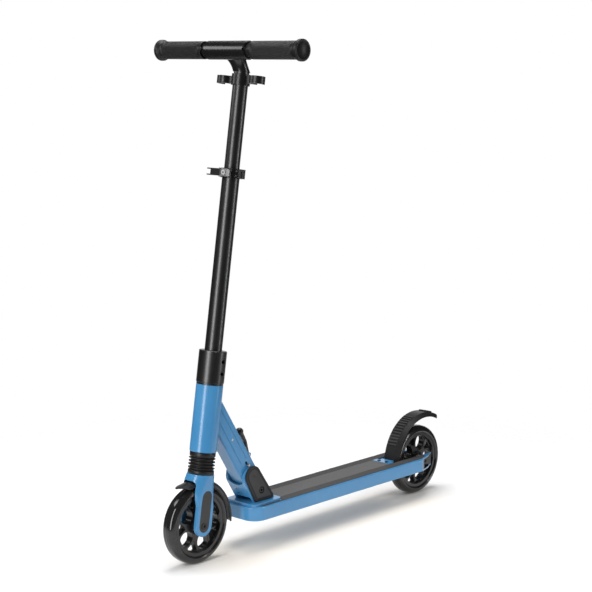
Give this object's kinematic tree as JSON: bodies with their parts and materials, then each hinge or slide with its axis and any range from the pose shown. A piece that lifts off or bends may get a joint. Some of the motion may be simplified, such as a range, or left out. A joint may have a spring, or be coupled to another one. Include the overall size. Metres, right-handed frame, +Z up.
{
  "type": "folding kick scooter",
  "caption": "Folding kick scooter with a raked steering column, sprung fork, slim deck, solid wheels and a tread-on rear brake guard.",
  "frame": {"origin": "on the ground, midway between the two axles, on the middle plane", "axes": "+X forward, +Y to the rider's left, +Z up"},
  "size_m": [0.779, 0.36, 0.9455],
  "materials": {
    "blue_paint": "satin blue paint",
    "black_metal": "satin black anodised tube",
    "black_plastic": "moulded black plastic",
    "dark_plastic": "moulded dark grey plastic",
    "grip_rubber": "fine ribbed black rubber",
    "boot_rubber": "smooth black rubber",
    "tyre": "cast dark polyurethane",
    "bright_steel": "bright plated steel",
    "dark_steel": "black oxide steel",
    "grip_tape": "grained anti-slip strip"
  },
  "bodies": {
    "deck": {"deck": "blue_paint", "grip_tape": "grip_tape", "hinge_bracket": "blue_paint", "bracket_screws": "blue_paint", "hinge_cover_left": "dark_plastic", "hinge_cover_right": "dark_plastic", "pivot_bolt": "dark_steel", "brake_bracket": "blue_paint", "brake_screws": "bright_steel", "brake_pin": "bright_steel", "rear_axle": "dark_steel", "rear_axle_nut": "dark_steel", "rear_axle_spacers": "bright_steel"},
    "neck": {"neck": "blue_paint", "neck_pin": "bright_steel", "head_tube": "blue_paint", "headset_bearings": "bright_steel", "release_pin": "bright_steel"},
    "column": {"lower_tube": "black_metal", "lower_race": "bright_steel", "headset_cap": "black_metal", "column_collar": "black_metal", "collar_bolts": "dark_steel", "key_pin": "bright_steel", "spring_stop": "bright_steel", "qr_clamp": "black_metal", "qr_screws": "bright_steel", "qr_block": "bright_steel", "qr_lever_pin": "bright_steel"},
    "fork": {"fork": "blue_paint", "fork_inlays": "black_plastic", "front_mudguard": "black_plastic", "mudguard_screw": "dark_steel", "stanchion": "bright_steel", "boot": "boot_rubber", "suspension_spring": "bright_steel", "front_axle": "dark_steel", "front_axle_nut": "dark_steel", "front_axle_spacers": "bright_steel"},
    "front_wheel": {"front_tyre": "tyre", "front_hub": "black_plastic", "front_bearings": "bright_steel", "front_bearing_spacer": "bright_steel"},
    "rear_wheel": {"rear_tyre": "tyre", "rear_hub": "black_plastic", "rear_bearings": "bright_steel", "rear_bearing_spacer": "bright_steel"},
    "bar": {"upper_tube": "black_metal", "t_bar": "black_metal", "bar_clip": "black_plastic"},
    "handle_left": {"handle_tube_left": "black_metal", "grip_left": "grip_rubber", "grip_end_left": "grip_rubber"},
    "handle_right": {"handle_tube_right": "black_metal", "grip_right": "grip_rubber", "grip_end_right": "grip_rubber"},
    "qr_arm": {"qr_lever": "black_plastic"},
    "release_arm": {"release_lever": "black_plastic"},
    "latch": {"latch_pin": "bright_steel"},
    "brake": {"brake_guard": "black_plastic"}
  },
  "joints": [
    {"name": "fold", "type": "hinge", "parent": "deck", "child": "neck", "pos_m": [0.172, 0, 0.1115], "axis": [0, -1, 0], "range_deg": [0, 81.25]},
    {"name": "steer", "type": "hinge", "parent": "neck", "child": "column", "pos_m": [0.317, 0, 0.0725], "axis": [-0.1521, 0, 0.9884], "range_deg": [-60, 60]},
    {"name": "suspension", "type": "slide", "parent": "column", "child": "fork", "axis": [-0.1521, 0, 0.9884], "range_m": [0, 0.012], "stiffness_N_per_m": 20000, "springref_m": -0.006, "deforming": ["boot", "suspension_spring"]},
    {"name": "front_spin", "type": "hinge", "parent": "fork", "child": "front_wheel", "pos_m": [0.317, 0, 0.0725], "axis": [0, 1, 0], "continuous": true},
    {"name": "rear_spin", "type": "hinge", "parent": "deck", "child": "rear_wheel", "pos_m": [-0.317, 0, 0.0725], "axis": [0, 1, 0], "continuous": true},
    {"name": "height", "type": "slide", "parent": "column", "child": "bar", "axis": [-0.1521, 0, 0.9884], "range_m": [-0.145, 0]},
    {"name": "handle_left_pull", "type": "slide", "parent": "bar", "child": "handle_left", "axis": [0, 1, 0], "range_m": [0, 0.04]},
    {"name": "handle_right_pull", "type": "slide", "parent": "bar", "child": "handle_right", "axis": [0, -1, 0], "range_m": [0, 0.04]},
    {"name": "qr_open", "type": "hinge", "parent": "column", "child": "qr_arm", "pos_m": [0.24459, -0.0019, 0.7099], "axis": [-0.1521, 0, 0.9884], "range_deg": [0, 90]},
    {"name": "release", "type": "hinge", "parent": "neck", "child": "release_arm", "pos_m": [0.18418, 0, 0.17818], "axis": [0, -1, 0], "range_deg": [0, 20], "stiffness_Nm_per_rad": 0.3, "springref_deg": -14.32},
    {"name": "latch_slide", "type": "slide", "parent": "neck", "child": "latch", "axis": [0.5299, 0, 0.848], "range_m": [0, 0.0061]},
    {"name": "brake_press", "type": "hinge", "parent": "deck", "child": "brake", "pos_m": [-0.228, 0, 0.076], "axis": [0, -1, 0], "range_deg": [0, 9.7], "stiffness_Nm_per_rad": 3, "springref_deg": -17.19}
  ],
  "couplings": [
    {"joint": "latch_slide", "follows": "release", "m_per_rad": 0.017189}
  ]
}
